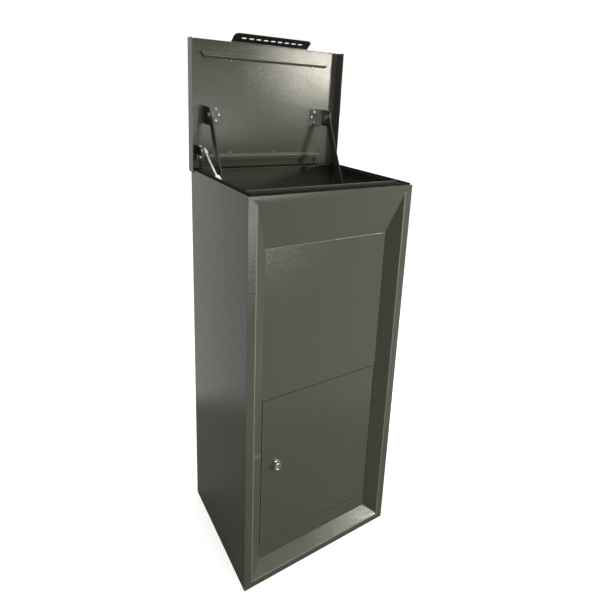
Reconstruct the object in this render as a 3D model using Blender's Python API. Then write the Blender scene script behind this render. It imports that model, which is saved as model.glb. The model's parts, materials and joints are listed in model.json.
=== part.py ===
"""Top-loading drop box in folded sheet steel: cabinet, lid, lifting shelf, gas strut and locked door.

Metres, +Z up, the front looks along -Y. The origin is the centre of the underside.
At rest the lid stands open and the shelf lies level; the door is shut and its lock is undone.
"""
import math

import bmesh
import bpy
from mathutils import Matrix, Vector

# Cabinet
WIDTH = 0.440
DEPTH = 0.362
HEIGHT = 1.012
SHEET = 0.0015
GAP = 0.0003
OVERRUN = 0.002
HALF_W = WIDTH / 2
FRONT = -DEPTH / 2
REAR = DEPTH / 2

# Front bezel: a flat border, then bevels back to the recessed plane
BORDER_SIDE = 0.020
BORDER_TOP = 0.018
BORDER_FOOT = 0.018
RECESS = 0.027
RECESS_HALF_W = 0.168
RECESS_FOOT = 0.045
RECESS_TOP = 0.889
RECESS_Y = FRONT + RECESS
PANEL_RETURN = 0.012
DOOR_STOP = 0.016

# Door
DOOR_FOOT = 0.0890
DOOR_TOP = 0.5090
DOOR_GAP = 0.0012
DOOR_LEFT = -0.1658
DOOR_RIGHT = 0.1668
DOOR_FOLD = 0.014
DOOR_PIVOT = Vector((0.1615, RECESS_Y + 0.0045, 0.0))
DOOR_PIN_R = 0.0025
LOCK = Vector((-0.1265, RECESS_Y, 0.3185))
LOCK_HEAD_R = 0.011
LOCK_BARREL_R = 0.008
LOCK_PLUG_R = 0.006
CAM_LENGTH = 0.052
CAM_WIDTH = 0.016
KEEPER_HALF = 0.035

# Rim
RIM_FOLD = 0.012
SIDE_RETURN = 0.014
SEAL_FRONT = FRONT + 0.0045
SEAL_REAR = REAR - 0.0030
SEAL_HALF_W = HALF_W - 0.0035
SEAL_NOTCH = 0.0012
SEAL_WIDTH = 0.008
SEAL_HEIGHT = 0.0042
CHANNEL_FRONT = -0.1748
CHANNEL_BACK = -0.1370
CHANNEL_DEPTH = 0.034
CHANNEL_LIP = 0.004

# Lid, in its own frame: origin on the hinge axis, shut, so -Y runs to the lid's front edge
LID_SHEET = 0.0012
LID_OPEN = math.radians(88.3)
LID_HINGE = Vector((0.0, REAR + 0.0055, HEIGHT - 0.002))
LID_RISE = 0.0075
LID_HALF_W = 0.2219
LID_FRONT = -0.3257
LID_BACK = 0.003
LID_SIDE_FLANGE = 0.033
LID_FRONT_FLANGE = 0.012
LID_FRONT_FLANGE_HALF_W = 0.206
HINGE_X = (0.136, 0.216)
LEAF_SHARES = (0.3, 0.7)
LEAF_SHEET = 0.0028
LEAF_REACH = 0.0225
HINGE_HEAD_R = 0.0036
KNUCKLE_R = 0.0047
HINGE_PIN_R = 0.0020

# Lid rails: a foot on the lid, a sloping riser, then a crown that returns to the lid
RAIL_HEIGHT = 0.006
RAIL_SLOPE = 0.0062
RAIL_CROWN = 0.0142
RAIL_FOOT = 0.009
RAIL_CHAMFER = 0.017

# Handle tab
TAB_HALF_W = 0.1115
TAB_REACH = 0.038
TAB_SLOPE = math.radians(55.0)
TAB_SHEET = 0.002
TAB_SLOTS = 9
TAB_PITCH = 0.0205
TAB_SLOT_LENGTH = 0.0145
TAB_SLOT_WIDTH = 0.006
TAB_CORNER = 0.012

# Link arms: pivot in the lid's frame, then length and lean at rest
ARM_PIVOT = Vector((0.0, -0.144, -0.027))
ARM_LENGTH = 0.3136
ARM_LEAN = math.radians(25.5)
ARM_WIDTH = 0.022
ARM_SHEET = 0.003
ARM_X = 0.1756
ARM_PIN_R = 0.004
SLOT_PIN_R = 0.003
PIN_HEAD = 0.002
EAR_SHEET = 0.002
ARM_PLATE_X = 0.137

# Shelf: hinged at the rear, level at rest
SHELF_HINGE = Vector((0.0, REAR - 0.0065, HEIGHT - 0.200))
SHELF_HALF_W = 0.205
SHELF_FRONT = -0.128
SHELF_ROD_R = 0.003
SHELF_TOP = 0.0052
SHELF_FOLD = 0.018
SLEEVE_R = 0.0046
SLEEVE_X = (0.060, 0.150)
CHEEK_RIM = 0.018
CHEEK_X = 0.1725
SLOT_ANGLE = math.radians(56.4)
SLOT_TRAVEL = 0.0211
SLOT_DRIFT = 0.0034

# Gas strut, on the left only
STRUT_X = -0.190
STRUT_TOP = Vector((STRUT_X, -0.0514, -0.0255))
STRUT_FOOT = Vector((STRUT_X, -0.051, HEIGHT - 0.082))
STRUT_ROD_R = 0.003
STRUT_TUBE_R = 0.0075
STRUT_TUBE_START = 0.099
STRUT_TUBE_LENGTH = 0.133
STRUT_BORE = 0.082
STRUT_ROD_INSIDE = 0.020
STRUT_SOCKET_R = 0.0065
STUD_R = 0.0035
STUD_HEAD_R = 0.006
STUD_END = STRUT_X - 0.0068

ROUND = 20


# ---- Small tools ----------------------------------------------------------------------------

def clear_scene():
    for item in list(bpy.data.objects):
        bpy.data.objects.remove(item, do_unlink=True)


def material(name, colour, roughness, metallic):
    made = bpy.data.materials.new(name)
    made.use_nodes = True
    shader = made.node_tree.nodes["Principled BSDF"]
    shader.inputs["Base Color"].default_value = (*colour, 1.0)
    shader.inputs["Roughness"].default_value = roughness
    shader.inputs["Metallic"].default_value = metallic
    made.diffuse_color = (*colour, 1.0)
    return made


def add_part(name, shape, finish, parent=None, smooth=False):
    """Make one named object from a bmesh given in its parent's frame."""
    bmesh.ops.recalc_face_normals(shape, faces=shape.faces)
    mesh = bpy.data.meshes.new(name)
    shape.to_mesh(mesh)
    shape.free()
    part = bpy.data.objects.new(name, mesh)
    bpy.context.scene.collection.objects.link(part)
    mesh.materials.append(finish)
    part.parent = parent
    if smooth:
        mesh.shade_smooth()
        mesh.set_sharp_from_angle(angle=math.radians(35))
    return part


def axis_empty(name, place, turn_x=0.0, parent=None):
    """An empty on a joint's axis, which carries the pieces that turn about it."""
    empty = bpy.data.objects.new(name, None)
    empty.location = place
    empty.rotation_euler = (turn_x, 0.0, 0.0)
    empty.parent = parent
    bpy.context.scene.collection.objects.link(empty)
    return empty


def combine(part, shape, operation, label):
    """Cut a shape from a part, or join it on, with a hidden guide object."""
    guide = add_part(f"{part.name}_{label}", shape, part.data.materials[0], part.parent)
    guide.hide_render = True
    guide.display_type = "WIRE"
    step = part.modifiers.new(label, "BOOLEAN")
    step.operation = operation
    step.solver = "EXACT"
    step.object = guide
    return part


def cut(part, shape, label):
    return combine(part, shape, "DIFFERENCE", label)


def join(part, shape, label):
    return combine(part, shape, "UNION", label)


def block(low, high):
    shape = bmesh.new()
    low, high = Vector(low), Vector(high)
    size = high - low
    place = Matrix.Translation((low + high) / 2) @ Matrix.Diagonal((*size, 1.0))
    bmesh.ops.create_cube(shape, size=1.0, matrix=place)
    return shape


def prism(outline, axis, start, end):
    """Extrude a flat outline: (y, z) along X, (x, z) along Y or (x, y) along Z."""
    spot = {
        "x": lambda u, v: (start, u, v),
        "y": lambda u, v: (u, start, v),
        "z": lambda u, v: (u, v, start),
    }[axis]
    shape = bmesh.new()
    face = shape.faces.new([shape.verts.new(spot(u, v)) for u, v in outline])
    grown = bmesh.ops.extrude_face_region(shape, geom=[face])
    moved = [item for item in grown["geom"] if isinstance(item, bmesh.types.BMVert)]
    step = Vector([end - start if name == axis else 0.0 for name in "xyz"])
    bmesh.ops.translate(shape, verts=moved, vec=step)
    return shape


def folded(path, thickness, axis, start, end):
    """Sheet metal folded along a path, the thickness on the path's left, extruded along an axis."""
    points = [Vector(point) for point in path]
    normals = []
    for here, there in zip(points, points[1:]):
        run = (there - here).normalized()
        normals.append(Vector((-run.y, run.x)))
    inner = [points[0] + normals[0] * thickness]
    for corner, before, after in zip(points[1:-1], normals, normals[1:]):
        inner.append(corner + (before + after) * thickness / (1 + before.dot(after)))
    inner.append(points[-1] + normals[-1] * thickness)
    return prism(points + inner[::-1], axis, start, end)


def tray(low, high, thickness, open_axis, open_sign):
    """An open box of sheet metal, its open side given by an axis number and a sign."""
    shape = block(low, high)
    shape.faces.ensure_lookup_table()
    bmesh.ops.recalc_face_normals(shape, faces=shape.faces)
    mouth = max(shape.faces, key=lambda face: face.normal[open_axis] * open_sign)
    bmesh.ops.inset_region(shape, faces=[mouth], thickness=thickness, use_even_offset=True)
    floor = bmesh.ops.extrude_face_region(shape, geom=[mouth])["geom"]
    bmesh.ops.delete(shape, geom=[mouth], context="FACES_ONLY")
    depth = high[open_axis] - low[open_axis] - thickness
    step = Vector((0.0, 0.0, 0.0))
    step[open_axis] = -open_sign * depth
    moved = [item for item in floor if isinstance(item, bmesh.types.BMVert)]
    bmesh.ops.translate(shape, verts=moved, vec=step)
    return shape


def turned(profile, axis, centre, ring=False, segments=ROUND):
    """Turn a profile of (radius, distance along the axis) about an axis through the centre."""
    along = {"x": Vector((1, 0, 0)), "y": Vector((0, 1, 0)), "z": Vector((0, 0, 1))}[axis]
    out = {"x": Vector((0, 1, 0)), "y": Vector((0, 0, 1)), "z": Vector((1, 0, 0))}[axis]
    centre = Vector(centre)
    shape = bmesh.new()
    points = [shape.verts.new(centre + out * radius + along * reach) for radius, reach in profile]
    pairs = list(zip(points, points[1:]))
    if ring:
        pairs.append((points[-1], points[0]))
    edges = [shape.edges.new(pair) for pair in pairs]
    bmesh.ops.spin(shape, geom=points + edges, cent=centre, axis=along, angle=math.tau,
                   steps=segments, use_merge=True, use_duplicate=False)
    bmesh.ops.remove_doubles(shape, verts=shape.verts, dist=1e-6)
    return shape


def rod(radius, start, end, axis, centre, segments=ROUND):
    return turned([(0, start), (radius, start), (radius, end), (0, end)], axis, centre,
                  segments=segments)


def stadium(middle, angle, length, width, steps=8):
    """Outline of a slot or bar end to end: two half circles joined by straight sides."""
    outline = []
    reach = (length - width) / 2
    for end in (1, -1):
        start = angle + (0 if end > 0 else math.pi) - math.pi / 2
        centre = Vector(middle) + Vector((math.cos(angle), math.sin(angle))) * reach * end
        for step in range(steps + 1):
            turn = start + math.pi * step / steps
            outline.append(centre + Vector((math.cos(turn), math.sin(turn))) * width / 2)
    return outline


# ---- Cabinet --------------------------------------------------------------------------------

def side_panel(side, name, finish):
    """Side sheet with a fold behind the bezel and a fold inwards along the rim."""
    outer = side * HALF_W
    lip = side * (HALF_W - SIDE_RETURN)
    path = [(outer, REAR), (outer, FRONT + SHEET + GAP), (lip, FRONT + SHEET + GAP)]
    panel = add_part(name, folded(path, -side * SHEET, "z", 0.0, HEIGHT), finish)
    edge = sorted((side * (HALF_W - SHEET / 2), side * (HALF_W - RIM_FOLD)))
    rim = block((edge[0], FRONT + 0.004, HEIGHT - SHEET), (edge[1], REAR - 0.016, HEIGHT))
    return join(panel, rim, "rim_fold")


def rear_panel(finish):
    inner = HALF_W - SHEET - GAP
    fold = REAR - SIDE_RETURN
    path = [(-inner, fold), (-inner, REAR), (inner, REAR), (inner, fold)]
    panel = add_part("rear_panel", folded(path, -SHEET, "z", 0.0, HEIGHT), finish)
    rim_half = inner - 0.004
    rim = block((-rim_half, REAR - RIM_FOLD, HEIGHT - SHEET), (rim_half, REAR - SHEET / 2, HEIGHT))
    return join(panel, rim, "rim_fold")


def front_frame(finish):
    """One sheet pressed into a flat border and four bevels, mitred at the corners."""
    loops = (
        (HALF_W, 0.0, HEIGHT, FRONT),
        (HALF_W - BORDER_SIDE, BORDER_FOOT, HEIGHT - BORDER_TOP, FRONT),
        (RECESS_HALF_W, RECESS_FOOT, RECESS_TOP, RECESS_Y),
    )
    shape = bmesh.new()
    rings = []
    for back in (0.0, SHEET):
        for half, foot, top, y in loops:
            corners = ((-half, foot), (half, foot), (half, top), (-half, top))
            rings.append([shape.verts.new((x, y + back, z)) for x, z in corners])
    front_faces, back_faces = rings[:3], rings[3:]
    joined = list(zip(front_faces, front_faces[1:])) + list(zip(back_faces, back_faces[1:]))
    joined += [(rings[0], rings[3]), (rings[2], rings[5])]
    for one, other in joined:
        for here in range(4):
            there = (here + 1) % 4
            shape.faces.new((one[here], one[there], other[there], other[here]))
    return add_part("front_frame", shape, finish)


def upper_front_panel(finish):
    low, high = DOOR_TOP + DOOR_GAP, RECESS_TOP - GAP
    path = [(RECESS_Y + DOOR_STOP, low), (RECESS_Y, low), (RECESS_Y, high), (RECESS_Y + PANEL_RETURN, high)]
    half = RECESS_HALF_W - GAP
    panel = add_part("upper_front_panel", folded(path, -SHEET, "x", -half, half), finish)
    hole = rod(DOOR_PIN_R + GAP, -OVERRUN, SHEET + OVERRUN, "z", (*DOOR_PIVOT.xy, low))
    return cut(panel, hole, "pin_hole")


def door_sill(finish):
    low, high = RECESS_FOOT + GAP, DOOR_FOOT - DOOR_GAP
    path = [(RECESS_Y + PANEL_RETURN, low), (RECESS_Y, low), (RECESS_Y, high), (RECESS_Y + DOOR_STOP, high)]
    half = RECESS_HALF_W - GAP
    panel = add_part("door_sill", folded(path, -SHEET, "x", -half, half), finish)
    hole = rod(DOOR_PIN_R + GAP, -SHEET - OVERRUN, OVERRUN, "z", (*DOOR_PIVOT.xy, high))
    return cut(panel, hole, "pin_hole")


def floor_tray(finish):
    half = HALF_W - 2 * SHEET - 2 * GAP
    low = (-half, FRONT + 2 * SHEET + 2 * GAP, 0.0)
    high = (half, REAR - SHEET - GAP, 0.020)
    return add_part("floor_tray", tray(low, high, SHEET, 2, 1), finish)


def front_channel(finish):
    """Channel behind the bezel's top edge, with a raised lip at the mouth."""
    half = HALF_W - RIM_FOLD - 0.0004
    low = (-half, CHANNEL_FRONT, HEIGHT - CHANNEL_DEPTH)
    high = (half, CHANNEL_BACK + SHEET, HEIGHT)
    part = add_part("front_channel", tray(low, high, SHEET, 2, 1), finish)
    lip = block((-half + 0.004, CHANNEL_BACK, HEIGHT - 0.010),
                (half - 0.004, CHANNEL_BACK + SHEET, HEIGHT + CHANNEL_LIP))
    return join(part, lip, "lip")


def rim_seal(finish):
    """Rubber strip along both sides and the rear of the mouth, and along the channel's front.

    Two notches at the rear leave room for the hinge leaves when the lid is shut.
    """
    shape = bmesh.new()
    rings = []
    foot, top = HEIGHT + GAP, HEIGHT + GAP + SEAL_HEIGHT
    for z in (foot, top):
        for inset in (0.0, SEAL_WIDTH):
            half = SEAL_HALF_W - inset
            low, high = SEAL_FRONT + inset, SEAL_REAR - inset
            corners = ((-half, low), (half, low), (half, high), (-half, high))
            rings.append([shape.verts.new((x, y, z)) for x, y in corners])
    for one, other in ((0, 1), (2, 3), (0, 2), (1, 3)):
        for here in range(4):
            there = (here + 1) % 4
            corners = (rings[one][here], rings[one][there], rings[other][there], rings[other][here])
            shape.faces.new(corners)
    seal = add_part("rim_seal", shape, finish)
    for side, name in ((-1, "left"), (1, "right")):
        start, end = hinge_span(side, *LEAF_SHARES)
        low = (start - OVERRUN, SEAL_REAR - SEAL_WIDTH - OVERRUN, foot + SEAL_NOTCH)
        high = (end + OVERRUN, SEAL_REAR + OVERRUN, top + OVERRUN)
        cut(seal, block(low, high), f"notch_{name}")
    return seal


# ---- Lid hinges -----------------------------------------------------------------------------

def hinge_span(side, low_share, high_share):
    """A stretch of one hinge along X, by its shares of the hinge's length."""
    near, far = HINGE_X
    ends = (side * (near + (far - near) * low_share), side * (near + (far - near) * high_share))
    return min(ends), max(ends)


def knuckle(start, end, centre):
    bore = HINGE_PIN_R + GAP
    profile = [(bore, start), (KNUCKLE_R, start), (KNUCKLE_R, end), (bore, end)]
    return turned(profile, "x", (0.0, *centre), ring=True)


def hinge_leaves(side, name, lid, finish, pin_finish):
    """Butt hinge: the cabinet's leaf has the two outer knuckles, the lid's leaf the middle one."""
    axis = LID_HINGE.yz
    face, back = REAR + GAP, REAR + LEAF_SHEET
    foot = HEIGHT - 0.034
    inner, outer = LEAF_SHARES
    cabinet_leaf = None
    for number, (low_share, high_share) in enumerate(((0.0, inner), (outer, 1.0))):
        start, end = hinge_span(side, low_share, high_share)
        if cabinet_leaf is None:
            cabinet_leaf = add_part(f"hinge_leaf_cabinet_{name}", knuckle(start, end, axis), finish)
        else:
            join(cabinet_leaf, knuckle(start, end, axis), f"knuckle_{number}")
        join(cabinet_leaf, block((start, face, foot + 0.0005), (end, back, axis.y)), f"plate_{number}")
    start, end = hinge_span(side, 0.0, 1.0)
    join(cabinet_leaf, block((start, face, foot), (end, back, HEIGHT - 0.010)), "strap")
    bore = rod(HINGE_PIN_R + GAP, start - OVERRUN, end + OVERRUN, "x", (0.0, *axis))
    cut(cabinet_leaf, bore, "bore")

    start, end = hinge_span(side, inner, outer)
    start, end = start + GAP, end - GAP
    lid_leaf = add_part(f"hinge_leaf_lid_{name}", knuckle(start, end, (0.0, 0.0)), finish, lid)
    top = LID_RISE - GAP
    join(lid_leaf, block((start, -LEAF_REACH, top - 0.003), (end, 0.0, top)), "plate")
    cut(lid_leaf, rod(HINGE_PIN_R + GAP, start - OVERRUN, end + OVERRUN, "x", (0, 0, 0)), "bore")

    start, end = hinge_span(side, 0.0, 1.0)
    near, far = start - GAP, end + GAP
    head = PIN_HEAD - GAP
    profile = [(0, near - head), (HINGE_HEAD_R, near - head), (HINGE_HEAD_R, near), (HINGE_PIN_R, near),
               (HINGE_PIN_R, far), (HINGE_HEAD_R, far), (HINGE_HEAD_R, far + head), (0, far + head)]
    add_part(f"hinge_pin_{name}", turned(profile, "x", (0.0, *axis)), pin_finish, smooth=True)


# ---- Lid, in the lid's own frame ------------------------------------------------------------

def lid_pan(lid, finish):
    """Lid sheet with its two side flanges and a shorter front flange."""
    skin = LID_RISE + LID_SHEET
    foot = skin - LID_SIDE_FLANGE
    path = [(-LID_HALF_W, foot), (-LID_HALF_W, skin), (LID_HALF_W, skin), (LID_HALF_W, foot)]
    pan = add_part("lid_pan", folded(path, -LID_SHEET, "y", LID_FRONT, LID_BACK), finish, lid)
    flange = block((-LID_FRONT_FLANGE_HALF_W, LID_FRONT, skin - LID_FRONT_FLANGE),
                   (LID_FRONT_FLANGE_HALF_W, LID_FRONT + LID_SHEET, skin - LID_SHEET / 2))
    return join(pan, flange, "front_flange")


def lid_rail(lid, name, start, direction, half, finish):
    """Shallow stiffening rail with chamfered ends; its riveted foot faces the lid's middle."""
    top = LID_RISE - GAP
    foot, crown = top - LID_SHEET, top - RAIL_HEIGHT
    bend = start - LID_SHEET * direction
    far = start + RAIL_CROWN * direction
    path = [(start - RAIL_FOOT * direction, foot), (bend, foot), (bend + RAIL_SLOPE * direction, crown),
            (far, crown), (far, top)]
    rail = add_part(name, folded(path, LID_SHEET * direction, "x", -half, half), finish, lid)
    near = start - (RAIL_FOOT + OVERRUN) * direction
    for side, label in ((-1, "left_chamfer"), (1, "right_chamfer")):
        inner, outer = side * (half - RAIL_CHAMFER), side * (half + OVERRUN)
        outline = [(inner, near), (outer, near), (outer, far)]
        cut(rail, prism(outline, "z", crown - OVERRUN, top + OVERRUN), label)
    return rail


def dome(lid, name, place, radius, height, finish):
    """Domed head of a rivet or screw that stands on a face looking along -Z of the lid."""
    profile = [(0, 0), (radius, 0), (radius, -0.3 * height), (0.7 * radius, -0.8 * height), (0, -height)]
    return add_part(name, turned(profile, "z", place, segments=12), finish, lid, smooth=True)


def handle_tab(lid, finish):
    """Folded tab: a leg on the lid's front flange, then a sloping face with a row of slots."""
    root_y, root_z = LID_FRONT - GAP, LID_RISE - 0.001
    tip_y = root_y - TAB_REACH * math.cos(TAB_SLOPE)
    tip_z = root_z - TAB_REACH * math.sin(TAB_SLOPE)
    leg = LID_RISE + LID_SHEET - LID_FRONT_FLANGE
    path = [(root_y, leg), (root_y, root_z), (tip_y, tip_z)]
    shape = folded(path, TAB_SHEET, "x", -TAB_HALF_W, TAB_HALF_W)
    tab = add_part("handle_tab", shape, finish, lid)

    across = Matrix.Translation((0.0, root_y, root_z)) @ Matrix.Rotation(TAB_SLOPE, 4, "X")
    through = 3 * TAB_SHEET
    for number in range(TAB_SLOTS):
        middle = ((number - (TAB_SLOTS - 1) / 2) * TAB_PITCH, -0.55 * TAB_REACH)
        slot = prism(stadium(middle, 0.0, TAB_SLOT_LENGTH, TAB_SLOT_WIDTH, 4), "z", -through, through)
        slot.transform(across)
        cut(tab, slot, f"slot_{number}")
    for side, label in ((-1, "left_corner"), (1, "right_corner")):
        centre = Vector((side * (TAB_HALF_W - TAB_CORNER), TAB_CORNER - TAB_REACH))
        arc = [centre + Vector((side * math.sin(turn), -math.cos(turn))) * TAB_CORNER
               for turn in (math.pi / 2 * step / 5 for step in range(6))]
        past = side * (TAB_HALF_W + OVERRUN)
        below = -TAB_REACH - OVERRUN
        corner = prism(arc + [(past, centre.y), (past, below), (centre.x, below)], "z", -through, through)
        corner.transform(across)
        cut(tab, corner, label)
    return tab


# ---- Arms and shelf -------------------------------------------------------------------------

def arm_bracket(side, name, lid, finish, pin_finish, screw_finish):
    """Angle bracket on the lid: base plate, and an ear that holds the arm's pivot pin."""
    outer = side * (ARM_X + ARM_SHEET + GAP + EAR_SHEET)
    top = LID_RISE - GAP
    tip = ARM_PIVOT.z - 0.010
    path = [(side * ARM_PLATE_X, top), (outer, top), (outer, tip)]
    low, high = ARM_PIVOT.y - 0.020, ARM_PIVOT.y + 0.026
    shape = folded(path, side * -EAR_SHEET, "y", low, high)
    bracket = add_part(f"arm_bracket_{name}", shape, finish, lid)
    through = (outer - 2 * EAR_SHEET, outer + 2 * EAR_SHEET)
    cut(bracket, rod(ARM_PIN_R + GAP, *through, "x", (0.0, *ARM_PIVOT.yz)), "pin_hole")
    corner = [(low - 0.001, tip - 0.001), (low + 0.008, tip - 0.001), (low - 0.001, tip + 0.008)]
    cut(bracket, prism(corner, "x", *through), "ear_corner")

    inner = side * (ARM_X - GAP)
    head_r = ARM_PIN_R + 0.0025
    steps = [(0, outer + side * (PIN_HEAD + GAP)), (head_r, outer + side * (PIN_HEAD + GAP)),
             (head_r, outer + side * GAP), (ARM_PIN_R, outer + side * GAP), (ARM_PIN_R, inner),
             (head_r, inner), (head_r, inner - side * PIN_HEAD), (0, inner - side * PIN_HEAD)]
    add_part(f"arm_pivot_pin_{name}", turned(steps, "x", (0.0, *ARM_PIVOT.yz)), pin_finish, lid, True)

    spots = ((0.151, low + 0.008), (0.143, low + 0.023), (0.151, low + 0.038))
    for number, (x, y) in enumerate(spots, 1):
        place = (side * x, y, top - EAR_SHEET - GAP)
        dome(lid, f"arm_bracket_screw_{name}_{number}", place, 0.004, 0.0024, screw_finish)


def link_arm(side, name, lid, finish, pin_finish):
    """Flat bar from the lid to the shelf, with the pin that runs in the shelf's slot."""
    axis = axis_empty(f"arm_axis_{name}", ARM_PIVOT, LID_OPEN - ARM_LEAN, lid)
    near, far = sorted((side * ARM_X, side * (ARM_X + ARM_SHEET)))
    length = ARM_LENGTH + ARM_WIDTH
    outline = stadium((0.0, -ARM_LENGTH / 2), math.pi / 2, length, ARM_WIDTH)
    arm = add_part(f"link_arm_{name}", prism(outline, "x", near, far), finish, axis)
    cut(arm, rod(ARM_PIN_R + GAP, near - OVERRUN, far + OVERRUN, "x", (0, 0, 0)), "pivot_hole")
    foot = (0.0, 0.0, -ARM_LENGTH)
    cut(arm, rod(SLOT_PIN_R + GAP, near - OVERRUN, far + OVERRUN, "x", foot), "slot_pin_hole")

    outer, inner = ARM_X + ARM_SHEET + GAP, CHEEK_X - GAP
    head_r, washer_r = 0.0055, 0.0085
    steps = [(0, outer + PIN_HEAD), (head_r, outer + PIN_HEAD), (head_r, outer), (SLOT_PIN_R, outer),
             (SLOT_PIN_R, inner), (washer_r, inner), (washer_r, inner - PIN_HEAD), (0, inner - PIN_HEAD)]
    shape = turned([(r, side * x) for r, x in steps], "x", foot)
    add_part(f"arm_slot_pin_{name}", shape, pin_finish, axis, True)
    return arm


def shelf(finish, rod_finish, bracket_finish):
    """Level sheet with folded edges and two upright cheeks whose slots take the arms' pins."""
    axis = axis_empty("shelf_axis", SHELF_HINGE)
    reach = SHELF_FRONT - SHELF_HINGE.y
    path = [(0.004, SHELF_TOP), (reach, SHELF_TOP), (reach, SHELF_TOP - SHELF_FOLD)]
    panel = add_part("shelf_panel", folded(path, SHEET, "x", -SHELF_HALF_W, SHELF_HALF_W), finish, axis)

    pivot = axis_point_of_arm_foot() - SHELF_HINGE.yz
    along = Vector((math.cos(SLOT_ANGLE), math.sin(SLOT_ANGLE)))
    aside = Vector((-along.y, along.x))
    middle = pivot + along * (SLOT_TRAVEL / 2 - 0.0011) + aside * SLOT_DRIFT / 2
    width = 2 * SLOT_PIN_R + SLOT_DRIFT + 0.0008
    length = SLOT_TRAVEL + width
    foot = SHELF_TOP - 0.001
    ear = [(middle.x - 0.045, foot), (middle.x + 0.045, foot), (middle.x + 0.022, middle.y),
           (middle.x - 0.020, middle.y)]
    crown = stadium(middle, SLOT_ANGLE, length + CHEEK_RIM, width + CHEEK_RIM)
    slot = stadium(middle, SLOT_ANGLE, length, width)
    bore = SHELF_ROD_R + GAP
    for side, name in ((-1, "left"), (1, "right")):
        near, far = sorted((side * CHEEK_X, side * (CHEEK_X + EAR_SHEET)))
        join(panel, prism(ear, "x", near, far), f"cheek_{name}")
        join(panel, prism(crown, "x", near, far), f"crown_{name}")
        cut(panel, prism(slot, "x", near - OVERRUN, far + OVERRUN), f"slot_{name}")
        start, end = (side * x for x in SLEEVE_X)
        profile = [(bore, start), (SLEEVE_R, start), (SLEEVE_R, end), (bore, end)]
        join(panel, turned(profile, "x", (0, 0, 0), ring=True), f"sleeve_{name}")
    rod_bore = rod(bore, -SHELF_HALF_W - OVERRUN, SHELF_HALF_W + OVERRUN, "x", (0, 0, 0))
    cut(panel, rod_bore, "rod_bore")

    rod_half = SHELF_HALF_W + 0.008
    hinge_rod = rod(SHELF_ROD_R, -rod_half, rod_half, "x", SHELF_HINGE)
    add_part("shelf_hinge_rod", hinge_rod, rod_finish, None, True)
    for side, name in ((-1, "left"), (1, "right")):
        inner = SHELF_HALF_W + SHEET
        near, far = sorted((side * inner, side * (inner + EAR_SHEET)))
        low = (near, REAR - SIDE_RETURN, SHELF_HINGE.z - 0.014)
        high = (far, REAR - SHEET - GAP, SHELF_HINGE.z + 0.014)
        bracket = add_part(f"shelf_bracket_{name}", block(low, high), bracket_finish)
        cut(bracket, rod(bore, near - OVERRUN, far + OVERRUN, "x", SHELF_HINGE), "rod_hole")


def axis_point_of_arm_foot():
    """Where the arms' lower pins sit at rest, as (y, z)."""
    turn = Matrix.Rotation(-LID_OPEN, 4, "X")
    pivot = LID_HINGE + turn @ ARM_PIVOT
    foot = pivot + Vector((0.0, -math.sin(ARM_LEAN), -math.cos(ARM_LEAN))) * ARM_LENGTH
    return foot.yz


# ---- Gas strut ------------------------------------------------------------------------------

def gas_strut(lid, plate_finish, tube_finish, rod_finish, screw_finish):
    turn = Matrix.Rotation(-LID_OPEN, 4, "X")
    run = STRUT_FOOT - LID_HINGE - turn @ STRUT_TOP
    lean = math.atan2(-run.y, -run.z)
    axis = axis_empty("strut_axis", STRUT_TOP, LID_OPEN - lean, lid)
    length = run.length
    start, end = STRUT_TUBE_START, STRUT_TUBE_START + STRUT_TUBE_LENGTH
    rod_end = -start - STRUT_ROD_INSIDE
    bore, bore_end = STRUT_ROD_R + GAP, -start - STRUT_BORE

    socket = [(0, 0.008), (0.005, 0.008), (STRUT_SOCKET_R, 0.005), (STRUT_SOCKET_R, -0.010),
              (0.0045, -0.014), (STRUT_ROD_R, -0.0145), (STRUT_ROD_R, rod_end), (0, rod_end)]
    add_part("strut_rod", turned(socket, "z", (0, 0, 0)), rod_finish, axis, True)

    tube = [(bore, -start), (STRUT_SOCKET_R, -start), (STRUT_TUBE_R, -start - 0.002),
            (STRUT_TUBE_R, -end + 0.002), (0.0060, -end), (0, -end), (0, bore_end), (bore, bore_end)]
    add_part("strut_cylinder", turned(tube, "z", (0, 0, 0), ring=True), tube_finish, axis, True)
    foot = [(0, -end - GAP), (0.0045, -end - GAP), (STRUT_SOCKET_R, -end - 0.004),
            (STRUT_SOCKET_R, -length - 0.005), (0.005, -length - 0.008), (0, -length - 0.008)]
    add_part("strut_foot_socket", turned(foot, "z", (0, 0, 0)), rod_finish, axis, True)

    ear = STRUT_X - 0.012
    face = LID_RISE - GAP
    tip = STRUT_TOP.z - 0.008
    path = [(STRUT_X + 0.006, face), (ear - EAR_SHEET, face), (ear - EAR_SHEET, tip)]
    low, high = STRUT_TOP.y - 0.012, STRUT_TOP.y + 0.0265
    bracket = add_part("strut_bracket_lid", folded(path, EAR_SHEET, "y", low, high), plate_finish, lid)
    waist = STRUT_TOP.y + 0.010
    outline = [(waist, face - 0.006), (high + OVERRUN, face - 0.006), (high + OVERRUN, tip - 0.001),
               (waist, tip - 0.001)]
    cut(bracket, prism(outline, "x", ear - 3 * EAR_SHEET, ear + OVERRUN), "ear_shape")
    strut_stud("strut_stud_lid", ear + GAP, ear + PIN_HEAD + GAP, STRUT_TOP, screw_finish, lid)
    for number, y in enumerate((low + 0.005, high - 0.017, high - 0.005), 1):
        place = (STRUT_X - 0.003, y, face - EAR_SHEET - GAP)
        dome(lid, f"strut_bracket_screw_{number}", place, 0.0035, 0.0022, screw_finish)

    wall = -HALF_W + SHEET + GAP
    plate = block((wall, STRUT_FOOT.y - 0.016, STRUT_FOOT.z - 0.020),
                  (wall + EAR_SHEET, STRUT_FOOT.y + 0.016, STRUT_FOOT.z + 0.020))
    add_part("strut_bracket_cabinet", plate, plate_finish)
    head = wall + EAR_SHEET + GAP
    strut_stud("strut_stud_cabinet", head, head + 2 * PIN_HEAD, STRUT_FOOT, screw_finish, None)


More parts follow.
